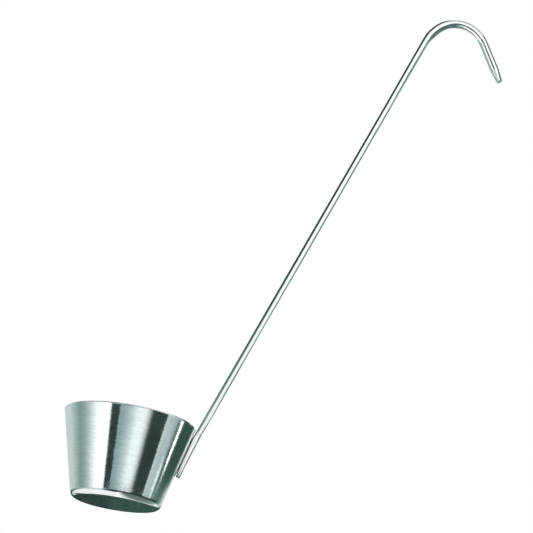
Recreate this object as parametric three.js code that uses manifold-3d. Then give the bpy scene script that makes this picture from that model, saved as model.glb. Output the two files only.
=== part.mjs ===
import * as THREE from 'three';
import { mergeVertices } from 'three/addons/utils/BufferGeometryUtils.js';
import Module from 'manifold-3d';

// Syrup ladle: a drawn steel cup with one bent wire welded to its wall as the handle.
// Millimetres, +Z up. The origin is the centre of the cup's flat base.
// The handle lies in the XZ plane and leaves the cup towards +X.

// Cup, outside sizes
const mouthDiameter = 56.6;
const baseDiameter = 37.8;
const cupHeight = 36.5;
const cupWall = 0.7;
const baseCornerRadius = 3;

// Wire: round, pressed from outside where it lies on the wall, and pressed to a wedge round the hook.
// A neck below the hook leads into the wedge. Thickness is in the handle's plane, width is across it.
// Taper is the share of the mean width that the wedge loses at the inside of the hook and gains outside.
const wireDiameter = 3;
const weldFlatThickness = 1.9;
const weldFlatWidth = 4.2;
const weldFlatSquareness = 2.8;
const hookNeckThickness = 3.35;
const hookNeckWidth = 2.7;
const hookNeckLength = 45;
const hookWedgeThickness = 4.2;
const hookWedgeWidth = 2.15;
const hookWedgeTaper = 0.6;
const pressRunOut = 7;
const wireEndRound = 0.4;

// Handle: lengths along the wire's centre line, angles in degrees
const weldedLength = 20.3;
const bendBelowRim = 0.9;
const rimBendRadius = 14;
const handleLean = 20.15;
const straightLength = 218.1;
const hookLeadRadius = 26.7;
const hookLeadTurn = 25.6;
const hookRadius = 13.9;
const hookTurn = 106.5;
const hookLegLength = 21.2;

// Spot welds between the wire and the wall, placed along the wall
const nuggetDiameter = 1.8;
const nuggetDepth = 0.7;
const upperNuggetBelowRim = 5;
const lowerNuggetInset = 4;

// Clearance between pieces that are welded together
const jointGap = 0.3;

// Finish
const steelColor = 0xc9cecd;
const sheetRoughness = 0.12;
const wireRoughness = 0.1;
const weldColor = 0x9b9f9f;
const weldRoughness = 0.45;

// Smoothness
const cupSegments = 72;
const arcDivisions = 3;
const wireSides = 20;
const nuggetSides = 20;
const bendStepDegrees = 6;
const weldedSteps = 8;
const straightSteps = 4;
const neckSteps = 6;
const runOutSteps = 4;
const legSteps = 2;

const wasm = await Module();
wasm.setup();

// The wall's outside line in the handle's plane: its lean from Z, its direction and its outward normal
const wallLean = Math.atan2((mouthDiameter - baseDiameter) / 2, cupHeight);
const alongWall = new THREE.Vector2(Math.sin(wallLean), Math.cos(wallLean));
const awayFromWall = new THREE.Vector2(Math.cos(wallLean), -Math.sin(wallLean));

// Places along the wall, measured from the base plane
const rimDistance = cupHeight / alongWall.y;
const bendDistance = (cupHeight - bendBelowRim) / alongWall.y;
const wireEndDistance = bendDistance - weldedLength;
const nuggetDistances = {
  weld_nugget_upper: rimDistance - upperNuggetBelowRim,
  weld_nugget_lower: wireEndDistance + lowerNuggetInset,
};

// A point in the handle's plane by its distance up the wall and its offset from the wall's outside
function besideWall(distance, offset) {
  const foot = new THREE.Vector2(baseDiameter / 2, 0);
  return foot.addScaledVector(alongWall, distance).addScaledVector(awayFromWall, offset);
}

function toSolid(geometry) {
  const bare = geometry.clone();
  bare.deleteAttribute('normal');
  bare.deleteAttribute('uv');
  const merged = mergeVertices(bare);
  return new wasm.Manifold(new wasm.Mesh({
    numProp: 3,
    vertProperties: new Float32Array(merged.attributes.position.array),
    triVerts: new Uint32Array(merged.index.array),
  }));
}

function toGeometry(solid) {
  const mesh = solid.getMesh();
  const geometry = new THREE.BufferGeometry();
  geometry.setAttribute('position', new THREE.BufferAttribute(mesh.vertProperties, mesh.numProp));
  geometry.setIndex(new THREE.BufferAttribute(mesh.triVerts, 1));
  geometry.computeVertexNormals();
  return geometry;
}

// The cup: one sheet turned about Z, with concentric arcs at the base corner and a rounded edge at the mouth
function cupGeometry() {
  const cornerX = baseDiameter / 2 - baseCornerRadius * (1 - Math.sin(wallLean)) / Math.cos(wallLean);
  const innerCornerRadius = baseCornerRadius - cupWall;
  const edgeRadius = cupWall / 2;
  const edge = besideWall((cupHeight - edgeRadius * (1 - awayFromWall.y)) / alongWall.y, -edgeRadius);
  const profile = new THREE.Path();
  profile.moveTo(0, 0);
  profile.lineTo(cornerX, 0);
  profile.absarc(cornerX, baseCornerRadius, baseCornerRadius, -Math.PI / 2, -wallLean, false);
  profile.absarc(edge.x, edge.y, edgeRadius, -wallLean, Math.PI - wallLean, false);
  profile.absarc(cornerX, baseCornerRadius, innerCornerRadius, -wallLean, -Math.PI / 2, true);
  profile.lineTo(0, cupWall);
  return new THREE.LatheGeometry(profile.getPoints(arcDivisions), cupSegments).rotateX(Math.PI / 2);
}

// Walks along the wire from its lower end. Each station has a place, a heading from Z and a run length.
function walkWire() {
  const place = besideWall(wireEndDistance, jointGap + wireDiameter / 2);
  const stations = [];
  let heading = wallLean;
  let run = 0;
  const mark = () => stations.push({ place: place.clone(), heading, run });
  const ahead = (chord, length) => {
    place.x += chord * Math.sin(heading);
    place.y += chord * Math.cos(heading);
    run += length;
  };
  const straight = (length, steps) => {
    for (let i = 0; i < steps; i += 1) {
      ahead(length / steps, length / steps);
      mark();
    }
  };
  const bend = (radius, turn) => {
    const steps = Math.max(2, Math.ceil(THREE.MathUtils.radToDeg(Math.abs(turn)) / bendStepDegrees));
    const half = turn / steps / 2;
    for (let i = 0; i < steps; i += 1) {
      heading += half;
      ahead(2 * radius * Math.sin(Math.abs(half)), 2 * radius * Math.abs(half));
      heading += half;
      mark();
    }
  };
  mark();
  straight(wireEndRound, 1);
  straight(weldedLength - wireEndRound, weldedSteps);
  bend(rimBendRadius, THREE.MathUtils.degToRad(handleLean) - wallLean);
  straight(pressRunOut, runOutSteps);
  straight(straightLength - pressRunOut - hookNeckLength, straightSteps);
  straight(hookNeckLength, neckSteps);
  const hookStart = run;
  bend(hookLeadRadius, THREE.MathUtils.degToRad(hookLeadTurn));
  bend(hookRadius, THREE.MathUtils.degToRad(hookTurn));
  straight(hookLegLength - pressRunOut, legSteps);
  straight(pressRunOut - wireEndRound, runOutSteps);
  straight(wireEndRound, 1);
  return { stations, hookStart, end: run };
}

// Sections of the wire. Squareness is 2 for an ellipse and more for flatter faces.
// Shift moves a section outwards, so that the weld flat keeps its seat on the wall.
const roundWire = { thickness: wireDiameter, width: wireDiameter, squareness: 2, shift: 0, taper: 0 };
const weldFlat = {
  thickness: weldFlatThickness,
  width: weldFlatWidth,
  squareness: weldFlatSquareness,
  shift: (weldFlatThickness - wireDiameter) / 2,
  taper: 0,
};
const hookNeck = { thickness: hookNeckThickness, width: hookNeckWidth, squareness: 2, shift: 0, taper: 0 };
const hookWedge = {
  thickness: hookWedgeThickness,
  width: hookWedgeWidth,
  squareness: 2,
  shift: 0,
  taper: hookWedgeTaper,
};

function blend(from, to, share) {
  const t = THREE.MathUtils.smoothstep(share, 0, 1);
  const mixed = Object.keys(from).map((key) => [key, THREE.MathUtils.lerp(from[key], to[key], t)]);
  return Object.fromEntries(mixed);
}

// The section at a run length: flat at the lower end, round on the straight, the neck below the hook,
// a wedge in the hook, round at the tip
function sectionAt(run, hookStart, end) {
  const neckStart = hookStart - hookNeckLength;
  if (run < neckStart) {
    return blend(weldFlat, roundWire, run / (weldedLength + pressRunOut));
  }
  if (run < hookStart) {
    return blend(roundWire, hookNeck, (run - neckStart) / hookNeckLength);
  }
  const tipStart = end - pressRunOut;
  if (run < tipStart) {
    return blend(hookNeck, hookWedge, (run - hookStart) / pressRunOut);
  }
  return blend(hookWedge, roundWire, (run - tipStart) / pressRunOut);
}

function sectionRing(station, section, inset) {
  const ring = [];
  const power = 2 / section.squareness;
  for (let i = 0; i < wireSides; i += 1) {
    const angle = (i + 0.5) / wireSides * 2 * Math.PI;
    const c = Math.cos(angle);
    const s = Math.sin(angle);
    const reach = Math.sign(c) * Math.abs(c) ** power;
    const out = section.shift + reach * (section.thickness / 2 - inset);
    const spread = Math.sign(s) * Math.abs(s) ** power * (1 - section.taper * reach);
    const across = spread * (section.width / 2 - inset);
    const x = station.place.x + out * Math.cos(station.heading);
    const z = station.place.y - out * Math.sin(station.heading);
    ring.push(new THREE.Vector3(x, across, z));
  }
  return ring;
}

// Skins rings of equal length and closes both ends with a fan
function loft(rings) {
  const sides = rings[0].length;
  const index = [];
  for (let r = 0; r + 1 < rings.length; r += 1) {
    for (let i = 0; i < sides; i += 1) {
      const a = r * sides + i;
      const b = r * sides + (i + 1) % sides;
      index.push(a, b, b + sides, a, b + sides, a + sides);
    }
  }
  const last = (rings.length - 1) * sides;
  for (let i = 1; i + 1 < sides; i += 1) {
    index.push(0, i + 1, i);
    index.push(last, last + i, last + i + 1);
  }
  return new THREE.BufferGeometry().setFromPoints(rings.flat()).setIndex(index);
}

// A short round plug square to the wall, from one offset off the wall to another
function plugOnWall(distance, radius, from, to) {
  const middle = besideWall(distance, (from + to) / 2);
  const plug = new THREE.CylinderGeometry(radius, radius, to - from, nuggetSides);
  plug.rotateZ(-Math.PI / 2);
  plug.rotateY(wallLean);
  plug.translate(middle.x, 0, middle.y);
  return plug;
}

// The handle: the lofted wire, with a pocket for each weld nugget
function handleGeometry() {
  const { stations, hookStart, end } = walkWire();
  const rings = stations.map((station) => {
    const inset = station.run === 0 || station.run === end ? wireEndRound : 0;
    return sectionRing(station, sectionAt(station.run, hookStart, end), inset);
  });
  const pocketRadius = nuggetDiameter / 2 + jointGap;
  const pocketTop = jointGap + nuggetDepth + jointGap;
  let wire = toSolid(loft(rings));
  for (const distance of Object.values(nuggetDistances)) {
    wire = wire.subtract(toSolid(plugOnWall(distance, pocketRadius, 0, pocketTop)));
  }
  return toGeometry(wire);
}

function nuggetGeometry(distance) {
  return plugOnWall(distance, nuggetDiameter / 2, jointGap, jointGap + nuggetDepth);
}

const ladle = new THREE.Group();

function addPiece(name, geometry, color, roughness) {
  const material = new THREE.MeshStandardMaterial({ color, roughness, metalness: 1 });
  const mesh = new THREE.Mesh(geometry, material);
  mesh.name = name;
  ladle.add(mesh);
}

addPiece('cup', cupGeometry(), steelColor, sheetRoughness);
addPiece('handle', handleGeometry(), steelColor, wireRoughness);
for (const [name, distance] of Object.entries(nuggetDistances)) {
  addPiece(name, nuggetGeometry(distance), weldColor, weldRoughness);
}

export default ladle;
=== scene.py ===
import math
from collections import namedtuple

import bpy
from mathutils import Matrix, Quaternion, Vector


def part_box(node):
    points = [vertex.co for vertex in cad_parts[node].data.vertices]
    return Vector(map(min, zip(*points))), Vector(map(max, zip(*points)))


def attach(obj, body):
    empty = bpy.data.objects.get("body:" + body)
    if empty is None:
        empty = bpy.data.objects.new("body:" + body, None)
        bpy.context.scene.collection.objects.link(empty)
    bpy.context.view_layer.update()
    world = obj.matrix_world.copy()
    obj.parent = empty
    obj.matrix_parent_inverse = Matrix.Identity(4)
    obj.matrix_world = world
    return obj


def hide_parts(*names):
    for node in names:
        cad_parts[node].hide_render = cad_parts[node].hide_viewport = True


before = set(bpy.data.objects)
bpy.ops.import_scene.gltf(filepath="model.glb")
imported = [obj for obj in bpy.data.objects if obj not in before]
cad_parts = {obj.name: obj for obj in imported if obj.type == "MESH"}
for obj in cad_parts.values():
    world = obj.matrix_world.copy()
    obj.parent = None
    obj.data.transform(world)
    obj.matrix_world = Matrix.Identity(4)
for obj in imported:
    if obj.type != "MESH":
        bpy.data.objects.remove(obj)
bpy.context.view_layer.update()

MM = 0.001

# Sizes of the solids, in millimetres and degrees
MOUTH_DIAMETER = 56.6
BASE_DIAMETER = 37.8
CUP_HEIGHT = 36.5
CUP_WALL = 0.7
BASE_CORNER_RADIUS = 3.0
WIRE_DIAMETER = 3.0
PRESS_RUN_OUT = 7.0
HOOK_NECK_LENGTH = 45.0
WIRE_END_ROUND = 0.4
WELDED_LENGTH = 20.3
BEND_BELOW_RIM = 0.9
RIM_BEND_RADIUS = 14.0
HANDLE_LEAN = 20.15
STRAIGHT_LENGTH = 218.1
HOOK_LEAD_RADIUS = 26.7
HOOK_LEAD_TURN = 25.6
HOOK_RADIUS = 13.9
HOOK_TURN = 106.5
HOOK_LEG_LENGTH = 21.2
JOINT_GAP = 0.3
UPPER_NUGGET_BELOW_RIM = 5.0
LOWER_NUGGET_INSET = 4.0
WELD_STRIP_THICKNESS = 1.9

# Sections of the wire. The shift is outwards, the taper is towards the hook's inside, and a squareness
# of 2 is an ellipse. The strip at the weld is a little rounder than its solid.
Section = namedtuple("Section", "thickness width squareness shift taper")
ROUND_WIRE = Section(thickness=WIRE_DIAMETER, width=WIRE_DIAMETER, squareness=2.0, shift=0.0, taper=0.0)
WELD_STRIP = Section(
    thickness=WELD_STRIP_THICKNESS,
    width=4.2,
    squareness=2.2,
    shift=(WELD_STRIP_THICKNESS - WIRE_DIAMETER) / 2,
    taper=0.0,
)
HOOK_NECK = Section(thickness=3.35, width=2.7, squareness=2.0, shift=0.0, taper=0.0)
HOOK_FLAT = Section(thickness=4.2, width=2.15, squareness=2.0, shift=0.0, taper=0.6)

# The visible wire lies closer to the wall than its solid does. Past the weld it leaves the wall over
# SEAT_RUN, and SEAT_SPREAD is how fast the shift grows from the wire's sides towards the wall.
CONTACT_GAP = 0.05
SEAT_RUN = 3.0
SEAT_SPREAD = 1.6

# Marks that the spot welder leaves, in millimetres
WIRE_MARK_RADIUS = 1.3
WIRE_MARK_DEPTH = 0.12
CUP_MARK_RADIUS = 1.7
CUP_MARK_DEPTH = 0.07
HEAT_RADIUS = 4.2

# The lens of metal that is squeezed out of each weld, in millimetres
FLASH_ALONG = 1.3
FLASH_ACROSS = 1.45
FLASH_THICK = 0.24
FLASH_OFFSET = 0.22
FLASH_RIPPLE = 0.04
FLASH_LOBES = 3
FLASH_PHASE = 0.7

# Scuffs from standing and handling, on the base and on the foot of the wall
BASE_SCUFF = 1.2
FOOT_SCUFF = 3.0
FOOT_SCUFF_HEIGHT = 4.5

# How worn the edges are, where 1 is the rim, and how wide the wear is
BASE_EDGE_WIDTH = 0.5
BASE_EDGE_WEAR = 0.5
CORNER_WEAR = 0.6
RIM_WEAR = 1.0
INNER_CORNER_WEAR = 0.2
WIRE_END_WEAR_LENGTH = 0.8
CROWN_WEAR = 0.6
CROWN_WEAR_ANGLE = math.radians(50)

# Painted shade in the crevice beside the weld, where the wire lies against the wall: where it starts on
# the wire's inner side, as the cosine from the wall, how soft its edge is, and how far past the weld it
# goes and fades
CREVICE_START = 0.55
CREVICE_SOFTNESS = 0.2
CREVICE_REACH = 2.0
CREVICE_FADE = 3.0

# Radius of the cylinder that the polishing grain is laid out on, and its rise from row to row of a weld
CUP_GRAIN = 2.5
WIRE_GRAIN = 3.2
FLASH_GRAIN = 3.0
FLASH_GRAIN_STEP = 2.0

# How finely the meshes are cut. The clearances and WALL_END_SHARE keep rings apart where shapes meet, and
# FLASH_POLE is how far a weld's end rings stay from its poles, in rows.
CUP_SEGMENTS = 288
CUP_CENTRE_RADIUS = 0.4
BASE_STEPS = 14
BASE_EDGE_STEPS = 3
CORNER_STEPS = 14
WALL_STEPS = 40
RIM_STEPS = 10
INNER_WALL_STEPS = 56
INNER_CORNER_STEPS = 10
INNER_BASE_STEPS = 12
INNER_BASE_CLEARANCE = 0.3
WALL_END_SHARE = 0.01
WIRE_SIDES = 48
WIRE_END_STEPS = 6
WIRE_END_CLEARANCE = 1.2 * WIRE_END_ROUND
WELDED_STEPS = 70
RIM_BEND_STEPS = 4
RUN_OUT_STEPS = 12
STRAIGHT_STEPS = 40
HOOK_LEAD_STEPS = 30
HOOK_STEPS = 60
HOOK_LEG_STEPS = 44
FLASH_SIDES = 40
FLASH_ROWS = 12
FLASH_POLE = 0.02

# The wall in the handle's plane: its lean, and the directions up along it and out from it
WALL_LEAN = math.atan2((MOUTH_DIAMETER - BASE_DIAMETER) / 2, CUP_HEIGHT)
ALONG = (math.sin(WALL_LEAN), math.cos(WALL_LEAN))
AWAY = (math.cos(WALL_LEAN), -math.sin(WALL_LEAN))
RIM_DISTANCE = CUP_HEIGHT / ALONG[1]
BEND_DISTANCE = (CUP_HEIGHT - BEND_BELOW_RIM) / ALONG[1]
WIRE_END_DISTANCE = BEND_DISTANCE - WELDED_LENGTH
WELD_DISTANCES = {
    "weld_nugget_upper": RIM_DISTANCE - UPPER_NUGGET_BELOW_RIM,
    "weld_nugget_lower": WIRE_END_DISTANCE + LOWER_NUGGET_INSET,
}


def beside_wall(distance, offset):
    """A point in the handle's plane: distance up the wall, and offset from the wall's outside."""
    return (
        BASE_DIAMETER / 2 + ALONG[0] * distance + AWAY[0] * offset,
        ALONG[1] * distance + AWAY[1] * offset,
    )


WELD_POINTS = [Vector((x, 0, z)) for x, z in (beside_wall(d, 0) for d in WELD_DISTANCES.values())]
INNER_MARKS = [w - CUP_WALL * Vector((AWAY[0], 0, AWAY[1])) for w in WELD_POINTS]


def lerp(a, b, t):
    return a + (b - a) * t


def between(a, b, t):
    """The same share of the way from a to b in every number."""
    return tuple(lerp(p, q, t) for p, q in zip(a, b))


def smooth(t):
    t = min(1.0, max(0.0, t))
    return t * t * (3 - 2 * t)


def dimple(distance, radius):
    """1 in the middle of a round mark and 0 outside it."""
    return smooth(1 - distance / radius)


def heat_at(point):
    """How much the welding heat has tinted the steel at a point in millimetres."""
    return max(dimple((point - w).length, HEAT_RADIUS) for w in WELD_POINTS)


def build(name, points, faces, box_of, grain, heat, wear, crevice_shade, flat_faces=()):
    """A smooth mesh in metres, held inside its node's box, with the values that its material reads."""
    low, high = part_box(box_of) if box_of else (None, None)
    placed = []
    for p in points:
        q = p * MM
        if box_of:
            q = Vector([min(max(c, a), b) for c, a, b in zip(q, low, high)])
        placed.append(q)
    mesh = bpy.data.meshes.new(name)
    mesh.from_pydata(placed, [], faces)
    mesh.validate()
    for polygon in mesh.polygons:
        polygon.use_smooth = polygon.index not in flat_faces
    values = mesh.attributes.new("grain", "FLOAT_VECTOR", "POINT")
    values.data.foreach_set("vector", [c for g in grain for c in g])
    for key, numbers in (("heat", heat), ("wear", wear), ("crevice_shade", crevice_shade)):
        layer = mesh.attributes.new(key, "FLOAT", "POINT")
        layer.data.foreach_set("value", numbers)
    piece = bpy.data.objects.new(name, mesh)
    bpy.context.scene.collection.objects.link(piece)
    return piece


def skin(rings, sides):
    """Quads between equal rings whose points follow each other in one list."""
    faces = []
    for r in range(rings - 1):
        for i in range(sides):
            a = r * sides + i
            b = r * sides + (i + 1) % sides
            faces.append((a, b, b + sides, a + sides))
    return faces


def closed_skin(rings, sides):
    """The same with a face over the first ring and one over the last."""
    faces = skin(rings, sides)
    faces.append(tuple(reversed(range(sides))))
    faces.append(tuple(range((rings - 1) * sides, rings * sides)))
    return faces


# Cup

def cup_profile():
    """The sheet's outline from the middle of the base, up the outside, over the edge and down the inside.
    Each entry is radius, height and wear."""
    corner_x = BASE_DIAMETER / 2 - BASE_CORNER_RADIUS * (1 - math.sin(WALL_LEAN)) / math.cos(WALL_LEAN)
    corner = (corner_x, BASE_CORNER_RADIUS)
    inner_corner_radius = BASE_CORNER_RADIUS - CUP_WALL
    edge_radius = CUP_WALL / 2
    edge = beside_wall((CUP_HEIGHT - edge_radius * (1 - AWAY[1])) / ALONG[1], -edge_radius)
    out = []

    def away_from(centre, distance):
        return (centre[0] + distance * AWAY[0], centre[1] + distance * AWAY[1])

    def line(start, end, steps, wear=0.0):
        for i in range(steps):
            out.append((*between(start, end, i / steps), wear))

    def wall(start, end, steps):
        last = between(start, end, 1 - WALL_END_SHARE)
        line(between(start, end, WALL_END_SHARE), last, steps)
        out.append((*last, 0.0))

    def arc(centre, radius, start, end, steps, wear):
        for i in range(steps + 1):
            t = i / steps
            a = lerp(start, end, t)
            x = centre[0] + radius * math.cos(a)
            z = centre[1] + radius * math.sin(a)
            out.append((x, z, wear * math.sin(math.pi * t)))

    base_edge = (corner_x - BASE_EDGE_WIDTH, 0)
    line((CUP_CENTRE_RADIUS, 0), base_edge, BASE_STEPS)
    line(base_edge, (corner_x, 0), BASE_EDGE_STEPS, BASE_EDGE_WEAR)
    arc(corner, BASE_CORNER_RADIUS, -math.pi / 2, -WALL_LEAN, CORNER_STEPS, CORNER_WEAR)
    wall(away_from(corner, BASE_CORNER_RADIUS), away_from(edge, edge_radius), WALL_STEPS)
    arc(edge, edge_radius, -WALL_LEAN, math.pi - WALL_LEAN, RIM_STEPS, RIM_WEAR)
    wall(away_from(edge, -edge_radius), away_from(corner, inner_corner_radius), INNER_WALL_STEPS)
    arc(corner, inner_corner_radius, -WALL_LEAN, -math.pi / 2, INNER_CORNER_STEPS, INNER_CORNER_WEAR)
    inner_centre = (CUP_CENTRE_RADIUS, CUP_WALL)
    line((corner_x - INNER_BASE_CLEARANCE, CUP_WALL), inner_centre, INNER_BASE_STEPS)
    out.append((*inner_centre, 0.0))
    return out


def scuff_at(height):
    """How scuffed the outside of the cup is at a height: the base, and the wall just above its corner."""
    if height == 0:
        return BASE_SCUFF
    above = height - BASE_CORNER_RADIUS * (1 - math.sin(WALL_LEAN))
    return FOOT_SCUFF * smooth(1 - above / FOOT_SCUFF_HEIGHT) if above > 0 else 0.0


def make_cup():
    profile = cup_profile()
    points, grain, heat, wear = [], [], [], []
    run = 0.0
    before = profile[0]
    inside_from = max(range(len(profile)), key=lambda i: profile[i][1])
    for k, (radius, height, worn) in enumerate(profile):
        if k < inside_from:
            worn = max(worn, scuff_at(height))
        run += math.hypot(radius - before[0], height - before[1])
        before = (radius, height)
        for i in range(CUP_SEGMENTS):
            turn = 2 * math.pi * i / CUP_SEGMENTS
            c, s = math.cos(turn), math.sin(turn)
            point = Vector((radius * c, radius * s, height))
            if k > inside_from:
                near = min((point - w).length for w in INNER_MARKS)
                push = CUP_MARK_DEPTH * dimple(near, CUP_MARK_RADIUS)
                point.x += push * AWAY[0]
                point.z += push * AWAY[1]
            points.append(point)
            grain.append((CUP_GRAIN * c, CUP_GRAIN * s, run))
            heat.append(heat_at(point))
            wear.append(worn)
    faces = closed_skin(len(profile), CUP_SEGMENTS)
    no_crevice_shade = [0.0] * len(points)
    return build("cup_sheet", points, faces, "cup", grain, heat, wear, no_crevice_shade)


# Handle

def wire_stations():
    """Places along the wire from its lower end, each with x, z, heading from Z and run length."""
    x, z = beside_wall(WIRE_END_DISTANCE, JOINT_GAP + WIRE_DIAMETER / 2)
    heading = WALL_LEAN
    run = 0.0
    out = [(x, z, heading, run)]

    def ahead(chord, length):
        nonlocal x, z, run
        x += chord * math.sin(heading)
        z += chord * math.cos(heading)
        run += length

    def straight(length, steps):
        for _ in range(steps):
            ahead(length / steps, length / steps)
            out.append((x, z, heading, run))

    def bend(radius, turn, steps):
        nonlocal heading
        half = turn / steps / 2
        for _ in range(steps):
            heading += half
            ahead(2 * radius * math.sin(abs(half)), 2 * radius * abs(half))
            heading += half
            out.append((x, z, heading, run))

    straight(WELDED_LENGTH, WELDED_STEPS)
    bend(RIM_BEND_RADIUS, math.radians(HANDLE_LEAN) - WALL_LEAN, RIM_BEND_STEPS)
    straight(PRESS_RUN_OUT, RUN_OUT_STEPS)
    straight(STRAIGHT_LENGTH - PRESS_RUN_OUT, STRAIGHT_STEPS)
    hook_start = run
    bend(HOOK_LEAD_RADIUS, math.radians(HOOK_LEAD_TURN), HOOK_LEAD_STEPS)
    bend(HOOK_RADIUS, math.radians(HOOK_TURN), HOOK_STEPS)
    straight(HOOK_LEG_LENGTH, HOOK_LEG_STEPS)
    return out, hook_start


def wire_rows(stations):
    """The stations with the wire's rounded ends. Each row also says how far its section is inset."""
    total = stations[-1][3]
    ends = []
    for i in range(WIRE_END_STEPS + 1):
        a = math.pi / 2 * i / WIRE_END_STEPS
        ends.append((WIRE_END_ROUND * (1 - math.cos(a)), WIRE_END_ROUND * (1 - math.sin(a))))
    rows = []
    x, z, heading, _ = stations[0]
    for along, inset in ends:
        rows.append((x + along * math.sin(heading), z + along * math.cos(heading), heading, along, inset))
    for station in stations:
        if WIRE_END_CLEARANCE < station[3] < total - WIRE_END_CLEARANCE:
            rows.append((*station, 0.0))
    x, z, heading, _ = stations[-1]
    for along, inset in reversed(ends):
        tip_x = x - along * math.sin(heading)
        tip_z = z - along * math.cos(heading)
        rows.append((tip_x, tip_z, heading, total - along, inset))
    return rows


def section_at(run, hook_start, total):
    """The wire's section at a run length: strip, round, neck, hook and round again at the tip."""
    neck_start = hook_start - HOOK_NECK_LENGTH
    tip_start = total - PRESS_RUN_OUT
    if run < neck_start:
        before, after, share = WELD_STRIP, ROUND_WIRE, run / (WELDED_LENGTH + PRESS_RUN_OUT)
    elif run < hook_start:
        before, after, share = ROUND_WIRE, HOOK_NECK, (run - neck_start) / HOOK_NECK_LENGTH
    elif run < tip_start:
        before, after, share = HOOK_NECK, HOOK_FLAT, (run - hook_start) / PRESS_RUN_OUT
    else:
        before, after, share = HOOK_FLAT, ROUND_WIRE, (run - tip_start) / PRESS_RUN_OUT
    return Section(*between(before, after, smooth(share)))


def make_handle():
    stations, hook_start = wire_stations()
    total = stations[-1][3]
    rows = wire_rows(stations)
    points, grain, heat, wear, crevice_shade = [], [], [], [], []
    marks = [d - WIRE_END_DISTANCE for d in WELD_DISTANCES.values()]
    for x, z, heading, run, inset in rows:
        section = section_at(run, hook_start, total)
        power = 2 / section.squareness
        seat = (JOINT_GAP - CONTACT_GAP) * smooth((WELDED_LENGTH - run) / SEAT_RUN)
        end_wear = smooth(1 - min(run, total - run) / WIRE_END_WEAR_LENGTH)
        crown = CROWN_WEAR * smooth(1 - abs(heading - math.pi / 2) / CROWN_WEAR_ANGLE)
        crevice = smooth((WELDED_LENGTH + CREVICE_REACH - run) / CREVICE_FADE)
        for i in range(WIRE_SIDES):
            angle = (i + 0.5) / WIRE_SIDES * 2 * math.pi
            c, s = math.cos(angle), math.sin(angle)
            out = math.copysign(abs(c) ** power, c) * (section.thickness / 2 - inset)
            across = math.copysign(abs(s) ** power, s) * (section.width / 2 - inset)
            across *= 1 - section.taper * out * 2 / section.thickness
            out += section.shift
            if c < 0:
                out -= seat * min(1.0, -c * SEAT_SPREAD)
            elif run < WELDED_LENGTH:
                near = min(math.hypot(run - m, across) for m in marks)
                out -= WIRE_MARK_DEPTH * dimple(near, WIRE_MARK_RADIUS)
            point = Vector((x + out * math.cos(heading), across, z - out * math.sin(heading)))
            points.append(point)
            grain.append((WIRE_GRAIN * c, WIRE_GRAIN * s, run))
            heat.append(heat_at(point))
            wear.append(max(end_wear, crown * smooth(c)))
            # Mask for painted shade on the wire's side that lies against the wall, along and just past
            # the weld
            crevice_shade.append(crevice * smooth((-c - CREVICE_START) / CREVICE_SOFTNESS))
    faces = [tuple(reversed(f)) for f in closed_skin(len(rows), WIRE_SIDES)]
    caps = (len(faces) - 2, len(faces) - 1)
    return build("handle_wire", points, faces, "handle", grain, heat, wear, crevice_shade, caps)


# Welds

def make_weld(node, distance):
    """The metal squeezed out round a spot weld: a flat lens between the wall and the wire."""
    x, z = beside_wall(distance, FLASH_OFFSET)
    points, grain, heat = [], [], []
    for r in range(FLASH_ROWS + 1):
        a = math.pi * (r + FLASH_POLE) / (FLASH_ROWS + 2 * FLASH_POLE)
        for i in range(FLASH_SIDES):
            b = 2 * math.pi * i / FLASH_SIDES
            ripple = 1 + FLASH_RIPPLE * math.sin(FLASH_LOBES * b + FLASH_PHASE)
            u = FLASH_ALONG * math.sin(a) * math.cos(b) * ripple
            v = FLASH_ACROSS * math.sin(a) * math.sin(b) * ripple
            w = FLASH_THICK * math.cos(a)
            point = Vector((x + u * ALONG[0] + w * AWAY[0], v, z + u * ALONG[1] + w * AWAY[1]))
            points.append(point)
            grain.append((FLASH_GRAIN * math.cos(b), FLASH_GRAIN * math.sin(b), FLASH_GRAIN_STEP * r))
            heat.append(heat_at(point))
    faces = closed_skin(FLASH_ROWS + 1, FLASH_SIDES)
    plain = [0.0] * len(points)
    return build(node.replace("nugget", "flash"), points, faces, None, grain, heat, plain, plain)


# Materials

STRAW_TINT = (0.74, 0.62, 0.42, 1)
BLUE_TINT = (0.42, 0.47, 0.58, 1)
# Painted shade: the dark grey that the crevice between the wire and the wall is coloured towards
CREVICE_PAINTED_SHADE = (0.12, 0.13, 0.13, 1)
WELD_GREY = (0.44, 0.45, 0.46, 1)
WELD_STRAW = (0.56, 0.50, 0.40, 1)
FLOOR_GREY = (0.86, 0.87, 0.87, 1)
FLOOR_WHITE = (0.9, 0.905, 0.905, 1)
FLOOR_ROUGHNESS = 0.8
# How strongly the painted crevice shade darkens the colour
CREVICE_DARKNESS = 0.9
HEAT_STRENGTH = 0.42
WELD_PIT_DEPTH = 0.00005
NOISE_MEAN = 0.5


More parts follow.
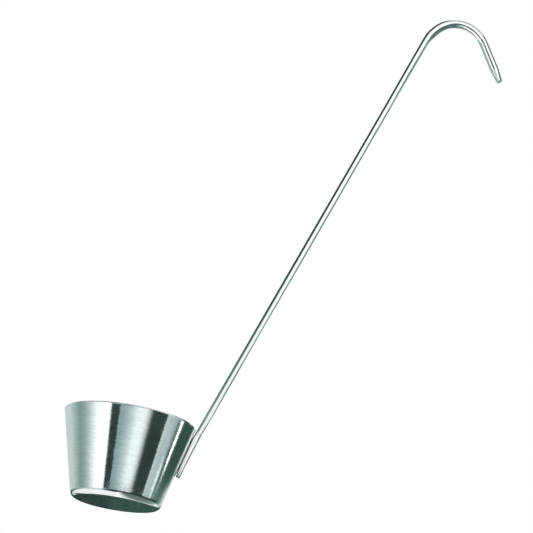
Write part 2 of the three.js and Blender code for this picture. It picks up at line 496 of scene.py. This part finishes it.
class Shader:
    """Short calls for building one material's nodes."""

    def __init__(self, name):
        self.material = bpy.data.materials.new(name)
        self.material.use_nodes = True
        self.tree = self.material.node_tree
        self.tree.nodes.clear()

    def add(self, kind, settings=None, **sockets):
        made = self.tree.nodes.new(kind)
        for key, value in (settings or {}).items():
            setattr(made, key, value)
        for key, value in sockets.items():
            self.put(made, key.replace("_", " "), value)
        return made

    def put(self, made, socket, value):
        target = made.inputs[int(socket)] if socket.isdigit() else made.inputs[socket]
        if isinstance(value, bpy.types.NodeSocket):
            self.tree.links.new(value, target)
        else:
            target.default_value = value

    def place(self):
        return self.add("ShaderNodeTexCoord").outputs["Object"]

    def attribute(self, name, output):
        return self.add("ShaderNodeAttribute", {"attribute_name": name}).outputs[output]

    def maths(self, operation, a, b):
        made = self.add("ShaderNodeMath", {"operation": operation})
        self.put(made, "0", a)
        self.put(made, "1", b)
        return made.outputs[0]

    def weighted(self, *parts):
        """The sum of values, each times its weight."""
        products = [self.maths("MULTIPLY", value, weight) for value, weight in parts]
        total = products[0]
        for product in products[1:]:
            total = self.maths("ADD", total, product)
        return total

    def vector_maths(self, operation, a, b):
        made = self.add("ShaderNodeVectorMath", {"operation": operation})
        self.put(made, "0", a)
        self.put(made, "1", b)
        return made.outputs[0]

    def noise(self, vector, scale, detail, rough):
        made = self.add("ShaderNodeTexNoise", Vector=vector, Scale=scale, Detail=detail, Roughness=rough)
        return made.outputs["Fac"]

    def ranged(self, value, low, high, to_low=0.0, to_high=1.0):
        """A value eased from the range low to high into another range."""
        made = self.add("ShaderNodeMapRange", {"interpolation_type": "SMOOTHSTEP"}, Value=value)
        limits = {"From Min": low, "From Max": high, "To Min": to_low, "To Max": to_high}
        for socket, number in limits.items():
            self.put(made, socket, number)
        return made.outputs[0]

    def leaned(self, normal, amount):
        """A normal turned sideways, level with the ground, by an amount that varies over the surface."""
        side = self.vector_maths("CROSS_PRODUCT", (0.0, 0.0, 1.0), normal)
        step = self.add("ShaderNodeVectorMath", {"operation": "SCALE"}, Vector=side, Scale=amount)
        total = self.vector_maths("ADD", normal, step.outputs[0])
        unit = self.add("ShaderNodeVectorMath", {"operation": "NORMALIZE"}, Vector=total)
        return unit.outputs[0]

    def mixed(self, factor, a, b):
        """Two colours mixed. The node's colour sockets come after those for numbers and vectors."""
        made = self.add("ShaderNodeMix", {"data_type": "RGBA"})
        self.put(made, "0", factor)
        self.put(made, "6", a)
        self.put(made, "7", b)
        return made.outputs[2]

    def finished(self, shader):
        """The material, once its output shows the shader."""
        self.add("ShaderNodeOutputMaterial", Surface=shader.outputs[0])
        return self.material


def steel(name, light, dark, line_scale, streak_scale, roughness, bump, waviness, sway):
    """Polished steel with fine polishing lines, streaks, faint smears, scuffs, painted shade in the
    crevice beside the weld and welding tint. The sway is how far the streaks turn the reflections.
    Scales of smears, specks and waves are per metre, and those of lines and streaks are per unit of
    grain."""
    s = Shader(name)
    grain = s.attribute("grain", "Vector")
    worn = s.attribute("wear", "Fac")
    heat = s.attribute("heat", "Fac")
    crevice_shade = s.attribute("crevice_shade", "Fac")
    place = s.place()
    lines = s.noise(s.vector_maths("MULTIPLY", grain, line_scale), scale=1.0, detail=4.0, rough=0.62)
    streaks = s.noise(s.vector_maths("MULTIPLY", grain, streak_scale), scale=1.0, detail=2.0, rough=0.6)
    smears = s.noise(place, scale=85.0, detail=3.0, rough=0.5)
    specks = s.noise(place, scale=2600.0, detail=2.0, rough=0.6)
    waves = s.noise(place, scale=900.0, detail=2.0, rough=0.5)
    scuffs = s.maths("MULTIPLY", s.ranged(specks, 0.5, 0.72), worn)

    tone = s.weighted((lines, 0.25), (smears, 0.2), (streaks, 0.3), (specks, 0.25))
    colour = s.mixed(s.ranged(tone, 0.36, 0.64), dark, light)
    heat_colour = s.mixed(s.ranged(heat, 0.55, 0.95), STRAW_TINT, BLUE_TINT)
    patches = s.ranged(smears, 0.3, 0.6, to_low=0.5)
    heat_share = s.maths("MULTIPLY", s.ranged(heat, 0.12, 0.8, to_high=HEAT_STRENGTH), patches)
    colour = s.mixed(heat_share, colour, heat_colour)
    # Painted shade in the crevice beside the weld, mixed into the colour
    colour = s.mixed(s.maths("MULTIPLY", crevice_shade, CREVICE_DARKNESS), colour, CREVICE_PAINTED_SHADE)

    dulling = s.weighted((s.ranged(lines, 0.4, 0.7), 0.03), (scuffs, 0.1), (heat, 0.08), (crevice_shade, 0.4))
    rough = s.maths("ADD", s.ranged(smears, 0.35, 0.7, *roughness), dulling)
    height = s.weighted((lines, 1.0), (scuffs, 0.5), (waves, waviness))
    relief = s.add("ShaderNodeBump", Height=height, Strength=1.0, Distance=bump)
    lean = s.maths("MULTIPLY", s.maths("SUBTRACT", streaks, NOISE_MEAN), sway)
    normal = s.leaned(relief.outputs["Normal"], lean)
    return s.finished(s.add(
        "ShaderNodeBsdfPrincipled", Base_Color=colour, Roughness=rough, Metallic=1.0, Normal=normal))


def weld_metal():
    """Dull metal that has melted and set, with straw-coloured clouds."""
    s = Shader("weld_metal")
    place = s.place()
    pits = s.noise(place, scale=3200.0, detail=4.0, rough=0.65)
    clouds = s.noise(place, scale=900.0, detail=2.0, rough=0.5)
    colour = s.mixed(s.ranged(clouds, 0.35, 0.65), WELD_GREY, WELD_STRAW)
    rough = s.ranged(pits, 0.3, 0.7, to_low=0.28, to_high=0.5)
    relief = s.add("ShaderNodeBump", Height=pits, Strength=0.6, Distance=WELD_PIT_DEPTH)
    return s.finished(s.add(
        "ShaderNodeBsdfPrincipled", Base_Color=colour, Roughness=rough, Metallic=1.0,
        Normal=relief.outputs["Normal"]))


def floor_paper():
    s = Shader("floor_paper")
    fibres = s.noise(s.place(), scale=220.0, detail=3.0, rough=0.6)
    colour = s.mixed(fibres, FLOOR_GREY, FLOOR_WHITE)
    return s.finished(s.add("ShaderNodeBsdfPrincipled", Base_Color=colour, Roughness=FLOOR_ROUGHNESS))


def card_light():
    """The even glow of a screen, in the tone that its points carry."""
    s = Shader("studio_card")
    return s.finished(s.add("ShaderNodeEmission", Color=s.attribute("tone", "Color")))


sheet_steel = steel(
    "polished_sheet",
    light=(0.89, 0.91, 0.908, 1),
    dark=(0.73, 0.755, 0.752, 1),
    line_scale=(1.0, 1.0, 3.2),
    streak_scale=(3.0, 3.0, 1.5),
    roughness=(0.07, 0.11),
    bump=0.000004,
    waviness=2.0,
    sway=0.035,
)
wire_steel = steel(
    "polished_wire",
    light=(0.84, 0.86, 0.858, 1),
    dark=(0.78, 0.80, 0.80, 1),
    line_scale=(1.6, 1.6, 0.08),
    streak_scale=(0.8, 0.8, 0.06),
    roughness=(0.06, 0.1),
    bump=0.000003,
    waviness=0.6,
    sway=0.0,
)
weld_steel = weld_metal()


def dress(piece, node, material):
    """Gives a piece its material, hangs it on the root body and hides the part of the node that it stands
    in for.
    """
    piece.data.materials.append(material)
    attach(piece, "root")
    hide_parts(node)


dress(make_cup(), "cup", sheet_steel)
dress(make_handle(), "handle", wire_steel)
for weld_node, weld_distance in WELD_DISTANCES.items():
    dress(make_weld(weld_node, weld_distance), weld_node, weld_steel)


# Studio, in metres: the floor, the light, and screens and flags that only the polished steel sees

FLOOR_DROP = 0.45
FLOOR_SIZE = 6.0
LOW_PAPER_HEIGHT = -0.3
LOW_PAPER_X = (0.0, 0.09, 0.6)
LOW_PAPER_Y = (-0.8, 0.1, 0.4)
OVERHEAD_SIZE = 0.9
OVERHEAD_POWER = 6.0
OVERHEAD_PLACE = (-0.25, -0.2, 1.1)
OVERHEAD_AIM = (0.25, 0.2, -1.0)

# Rings that the screens stand on: middle and radius. CARD_STEP is a screen's panel width in degrees.
CARD_STEP = 3.0
CUP_BASE = Vector((0.0, 0.0, 0.0))
CUP_MIDDLE = Vector((0.0, 0.0, 0.018))
HOOK_MIDDLE = Vector((0.12, 0.0, 0.245))
CORNER_RING = (CUP_BASE, 0.4)
CUP_RING = (CUP_MIDDLE, 0.7)
BACK_RING = (CUP_MIDDLE, 0.8)
WIRE_RING = (CUP_MIDDLE, 1.1)
NEAR_RING = (HOOK_MIDDLE, 0.06)
DRAPE_RING = (HOOK_MIDDLE, 0.45)
HOOK_LOW_RING = (HOOK_MIDDLE, 0.5)
HOOK_RING = (HOOK_MIDDLE, 0.8)
HOOK_STRIP_RING = (HOOK_MIDDLE, 0.82)
LEG_RING = (HOOK_MIDDLE, 0.84)
HOOK_FAR_RING = (HOOK_MIDDLE, 1.6)

# Tones of the screens, from light to dark
STRIP_WHITE = (2.0, 2.0, 2.0)
SOFTBOX = (1.3, 1.3, 1.3)
BRIGHT = (1.03, 1.13, 1.14)
GREY = (0.62, 0.77, 0.71)
PALE = (0.61, 0.71, 0.69)
LILAC = (0.63, 0.58, 0.66)
STEEL_GREY = (0.5, 0.61, 0.625)
PEWTER = (0.46, 0.54, 0.52)
LEG_GREY = (0.40, 0.48, 0.46)
SHADE = (0.30, 0.44, 0.42)
COOL = (0.27, 0.41, 0.41)
MIDDLE = (0.24, 0.365, 0.35)
OLIVE = (0.15, 0.22, 0.20)
FERN = (0.11, 0.21, 0.19)
SLATE = (0.09, 0.18, 0.17)
MOSS = (0.09, 0.155, 0.135)
GREEN = (0.04, 0.085, 0.075)
DARK = (0.031, 0.053, 0.05)

card_material = card_light()


def show_to_steel(name, points, faces, tones):
    """Sets up a screen that lights nothing and is seen only as a reflection."""
    mesh = bpy.data.meshes.new(name)
    mesh.from_pydata(points, [], faces)
    layer = mesh.attributes.new("tone", "FLOAT_COLOR", "POINT")
    layer.data.foreach_set("color", [c for tone in tones for c in (*tone, 1.0)])
    mesh.materials.append(card_material)
    screen = bpy.data.objects.new(name, mesh)
    bpy.context.scene.collection.objects.link(screen)
    screen.visible_camera = False
    screen.visible_diffuse = False
    screen.visible_shadow = False
    screen.visible_transmission = False


def on_ring(ring, azimuth, elevation):
    centre, radius = ring
    a = math.radians(azimuth)
    e = math.radians(elevation)
    return centre + radius * Vector((math.cos(a), math.sin(a), math.tan(e)))


def strip(name, ring, *stops):
    """An upright screen round the object. Each stop is azimuth, low and high elevation, and one tone,
    or a tone for the low edge and one for the high edge."""
    points, tones = [], []
    for a, b in zip(stops, stops[1:]):
        steps = max(2, int(abs(b[0] - a[0]) / CARD_STEP))
        for i in range(steps + 1):
            t = i / steps
            azimuth, low, high = between(a[:3], b[:3], t)
            points.append(on_ring(ring, azimuth, low))
            points.append(on_ring(ring, azimuth, high))
            tones.append(between(a[3], b[3], t))
            tones.append(between(a[-1], b[-1], t))
    faces = [(i, i + 2, i + 3, i + 1) for i in range(0, len(points) - 2, 2)]
    show_to_steel(name, points, faces, tones)


def card(name, ring, low, high, *stops):
    """A strip of constant elevation. Each stop is azimuth and tone."""
    strip(name, ring, *((azimuth, low, high, tone) for azimuth, tone in stops))


# Screens that the cup's wall sees
card("left_screen", CUP_RING, -21, 24,
     (100, PALE), (140, PALE), (168, MIDDLE), (180, between(MIDDLE, PALE, 0.15)))
card("left_softbox", CUP_RING, -21, -3,
     (180, between(MIDDLE, PALE, 0.15)), (192, between(MIDDLE, SOFTBOX, 0.28)), (206, BRIGHT),
     (212, SOFTBOX), (233, SOFTBOX))
card("left_flag", CUP_RING, -21, -4, (234, DARK), (249, DARK))
card("front_screen", CUP_RING, -21, -11,
     (249, COOL), (259, between(COOL, BRIGHT, 0.1)), (271, between(COOL, BRIGHT, 0.45)),
     (282, BRIGHT), (292, BRIGHT))
card("right_flag", CUP_RING, -21, -4,
     (292, BRIGHT), (297, between(DARK, BRIGHT, 0.85)), (303, between(DARK, BRIGHT, 0.35)),
     (306.5, between(DARK, BRIGHT, 0.04)), (309, DARK), (335, DARK))
card("right_screen", CUP_RING, -9.2, -4.5,
     (336, GREY), (342, STEEL_GREY), (350, STEEL_GREY), (357, SHADE), (361, SLATE), (364, GREEN),
     (366.8, GREEN))
card("right_low_screen", CUP_RING, -21, -9.2,
     (336, GREY), (342, STEEL_GREY), (353, STEEL_GREY), (355, BRIGHT), (359, BRIGHT), (362, FERN),
     (366.8, FERN))
card("strip_light", CUP_RING, -7.2, -3.5, (366.8, STRIP_WHITE), (372, STRIP_WHITE))
strip("right_drape", CUP_RING,
      (372, -7.2, -1, OLIVE), (375, -7.2, -1, GREEN), (388, -4.8, 2, GREEN), (398, -2.3, 5, GREEN),
      (409, 0.2, 9, GREEN), (417, 2.2, 9, SHADE), (426, 4.5, 9, PALE))
strip("right_foot", CUP_RING,
      (366.8, -21, -7.2, FERN), (372, -21, -7.2, FERN), (375, -21, -7.2, FERN), (388, -21, -4.8, FERN),
      (398, -21, -2.3, OLIVE), (404, -21, -1, SHADE), (414, -21, 1.5, PALE), (426, -21, 4.5, PALE))

# Flags below and above the cup, for its base, the base's corner and the rim
strip("corner_line", CORNER_RING,
      (90, -13, 8, DARK), (95, -13, 5, DARK), (100, -12, 3.5, DARK), (105, -11, 1.5, DARK),
      (112, -10, -0.5, DARK), (121, -10, -2.5, DARK), (140, -16, -6.5, SLATE), (155, -21, -10, SHADE),
      (169, -26, -13, STEEL_GREY), (198, -35, -18, GREY), (225, -40, -21, GREY), (240, -43, -20, SLATE),
      (255, -46, -19, DARK), (270, -48, -19, DARK), (300, -47, -18, DARK), (325, -42, -17, DARK),
      (352, -33, -13, DARK), (375, -22, -8, DARK), (390, -16, -6, DARK))
card("right_low_drape", CUP_RING, -30, -21, (0, GREEN), (40, GREEN))
card("back_low_drape", BACK_RING, -30, 3, (66, GREEN), (112, GREEN))
card("rim_drape", CUP_RING, 12, 72, (352, SHADE), (360, GREEN), (400, GREEN), (415, SHADE))

# Screens that the handle sees
card("front_softbox", WIRE_RING, 9, 52, (252, SOFTBOX), (318, SOFTBOX))
strip("upper_left_veil", WIRE_RING, (85, 29, 41, MIDDLE, DARK), (238, 29, 41, MIDDLE, DARK))
card("upper_left_flag", WIRE_RING, 41, 66, (85, DARK), (240, DARK))
card("left_veil", WIRE_RING, -3, 17, (180, STEEL_GREY), (238, STEEL_GREY))
strip("front_veil", WIRE_RING, (238, 22, 39, PEWTER), (256, 22, 37, STEEL_GREY, GREY))
card("wire_veil", CUP_RING, -3.4, 2, (350, STEEL_GREY), (372, STEEL_GREY))
card("wire_drape", DRAPE_RING, -28, 12,
     (322, BRIGHT), (335, GREY), (350, SHADE), (366, SHADE), (372, GREEN), (396, GREEN))

# Screens that the hook sees
strip("hook_upper_flag", HOOK_RING,
      (72, 18, 44, SHADE), (90, 22, 60, SLATE), (110, 29, 68, GREEN), (130, 36, 76, DARK),
      (170, 44, 81, DARK), (210, 46, 82, DARK), (230, 45, 80, DARK), (240, 42, 77, DARK),
      (250, 40, 72, DARK), (260, 37, 68, GREEN), (270, 35, 62, OLIVE), (280, 33, 56, SHADE))
strip("hook_crest_flag", HOOK_RING,
      (90, 60, 72, SHADE), (110, 68, 80, SHADE), (130, 76, 84, SHADE), (170, 81, 86, OLIVE),
      (240, 77, 86, OLIVE), (260, 68, 84, OLIVE), (280, 56, 80, SHADE))
strip("hook_outer_line", HOOK_RING,
      (280, 33, 56, SHADE), (288, 31, 52, OLIVE), (295, 32, 42, SHADE), (305, 34, 44, OLIVE),
      (325, 39, 51, SLATE), (345, 43, 54, GREEN), (375, 43, 54, GREEN), (400, 37, 49, GREEN),
      (420, 31, 43, OLIVE))
strip("hook_crest_veil", HOOK_RING,
      (280, 56, 82, LEG_GREY), (300, 46, 82, LEG_GREY), (325, 52, 82, LILAC), (350, 56, 82, LILAC),
      (380, 56, 82, LILAC))
strip("hook_flag", HOOK_RING,
      (244.5, 3, 10, GREEN), (250, -6, 7, DARK), (255, -9, 1, DARK), (262, -14, -3, DARK),
      (270, -15, -5, DARK))
strip("hook_far_flag", HOOK_FAR_RING,
      (269, -15, -5, DARK), (280, -16, -5, GREEN), (290, -16, -5, SLATE), (298, -16, -4, SLATE))
strip("hook_low_flag", HOOK_FAR_RING,
      (288, -22, -16, SLATE), (298, -22, -16, SLATE), (298.2, -22, -5, SLATE), (306, -22, -8, SLATE),
      (318, -22, -13, SLATE))
strip("leg_line", HOOK_RING, (247, 9, 11, GREEN), (251, 6, 14, GREEN), (256, 9, 16, GREEN))
strip("hook_strip", HOOK_STRIP_RING,
      (238.5, 0, 7.5, SOFTBOX), (243, -3, 7, SOFTBOX), (248, -11, -2, SOFTBOX), (254, -16, -8, SOFTBOX),
      (262, -21, -13, SOFTBOX), (272, -22, -15, SOFTBOX), (280, -22, -16, GREY), (288, -21, -16, OLIVE))
strip("leg_screen", LEG_RING,
      (120, -12, 2, LEG_GREY), (160, -22, -6, LEG_GREY), (210, -18, -2, LEG_GREY),
      (226, -14, 3, LEG_GREY), (233, -8, 6, SHADE), (239, -4, 8, SHADE))
strip("hook_low_screen", HOOK_LOW_RING,
      (225, -31, -14, LEG_GREY), (238, -31, -10, SHADE), (246, -31, -15, OLIVE), (262, -31, -21, OLIVE),
      (275, -31, -21, OLIVE), (285, -31, -21, SLATE), (300, -31, -21, SLATE))
strip("hook_side_flag", NEAR_RING,
      (294, -3, 1, MOSS), (300, -6, 8, MOSS), (306, -12, 14, MOSS), (312, -18, 22, OLIVE),
      (335, -22, 26, OLIVE), (350, -25, 22, SHADE), (375, -25, 12, SHADE), (400, -25, 13, SHADE),
      (425, -10, 19, SHADE))

# Paper that the wire's underside and the cup's base see, white near the axis and dark towards the hook
show_to_steel(
    "low_paper",
    [(x, y, LOW_PAPER_HEIGHT) for x in LOW_PAPER_X for y in LOW_PAPER_Y],
    [(i, i + 3, i + 4, i + 1) for i in (0, 1, 3, 4)],
    [SOFTBOX] * 3 + [OLIVE, OLIVE, SHADE] * 2,
)

# Floor, below the camera
half = FLOOR_SIZE / 2
floor_mesh = bpy.data.meshes.new("floor")
floor_mesh.from_pydata(
    [(x, y, -FLOOR_DROP) for x, y in ((-half, -half), (half, -half), (half, half), (-half, half))],
    [],
    [(0, 1, 2, 3)],
)
floor_mesh.materials.append(floor_paper())
floor = bpy.data.objects.new("floor", floor_mesh)
bpy.context.scene.collection.objects.link(floor)

# Soft light from all round, and a little from above that the steel does not mirror
world = bpy.data.worlds.new("studio")
bpy.context.scene.world = world
world.use_nodes = True
backdrop = world.node_tree.nodes["Background"]
backdrop.inputs["Color"].default_value = (1.0, 1.0, 1.0, 1)
backdrop.inputs["Strength"].default_value = 1.0

lamp = bpy.data.lights.new("overhead", "AREA")
lamp.shape = "RECTANGLE"
lamp.size = OVERHEAD_SIZE
lamp.size_y = OVERHEAD_SIZE
lamp.energy = OVERHEAD_POWER
overhead = bpy.data.objects.new("overhead", lamp)
overhead.location = OVERHEAD_PLACE
overhead.visible_glossy = False
overhead.rotation_mode = "QUATERNION"
overhead.rotation_quaternion = Vector(OVERHEAD_AIM).to_track_quat("-Z", "Y")
bpy.context.scene.collection.objects.link(overhead)

# Camera: below the cup's base and rolled, as in the photograph

CAMERA_PLACE = Vector((-5.853, -630.233, -105.279)) * MM
CAMERA_AIM = Vector((47.375, 0.0, 115.820)) * MM
CAMERA_ROLL = Quaternion((0, 0, 1), math.radians(8.993))
FOCAL_LENGTH = 101.313
SENSOR_WIDTH = 36.0

lens = bpy.data.cameras.new("camera")
lens.lens = FOCAL_LENGTH
lens.sensor_width = SENSOR_WIDTH
camera = bpy.data.objects.new("camera", lens)
camera.location = CAMERA_PLACE
camera.rotation_mode = "QUATERNION"
camera.rotation_quaternion = (CAMERA_AIM - CAMERA_PLACE).to_track_quat("-Z", "Y") @ CAMERA_ROLL
bpy.context.scene.collection.objects.link(camera)
bpy.context.scene.camera = camera
bpy.context.scene.view_settings.view_transform = "Standard"
